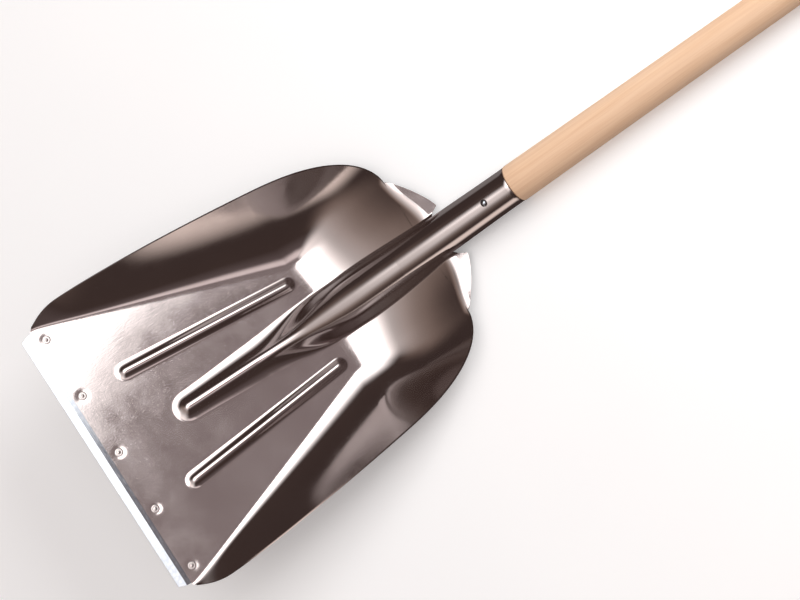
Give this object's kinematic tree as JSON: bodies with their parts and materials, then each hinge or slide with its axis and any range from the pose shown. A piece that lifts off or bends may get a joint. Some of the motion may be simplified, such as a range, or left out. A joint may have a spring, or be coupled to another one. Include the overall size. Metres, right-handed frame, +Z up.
{
  "type": "feed scoop",
  "caption": "Pressed metal feed scoop: a flared, ribbed pan with a riveted steel wear strip, a tube socket and a long straight wooden shaft.",
  "frame": {"origin": "on the ground, under the middle of the scoop's box, with the scoop lying on its heel and the end of its shaft", "axes": "+Y from the pan's front edge towards the shaft's free end, +X across the pan, +Z up"},
  "size_m": [0.338, 1.487, 0.1383],
  "materials": {
    "pan_aluminium": "polished",
    "socket_aluminium": "polished",
    "strip_steel": "zinc plated",
    "rivet_aluminium": "satin",
    "screw_steel": "zinc plated",
    "shaft_wood": "sanded, bare"
  },
  "bodies": {
    "root": {"pan": "pan_aluminium", "socket": "socket_aluminium", "shaft": "shaft_wood", "shaft_screw": "screw_steel", "wear_strip": "strip_steel", "edge_rivet_1": "rivet_aluminium", "edge_rivet_2": "rivet_aluminium", "edge_rivet_3": "rivet_aluminium", "edge_rivet_4": "rivet_aluminium", "edge_rivet_5": "rivet_aluminium"}
  },
  "joints": []
}
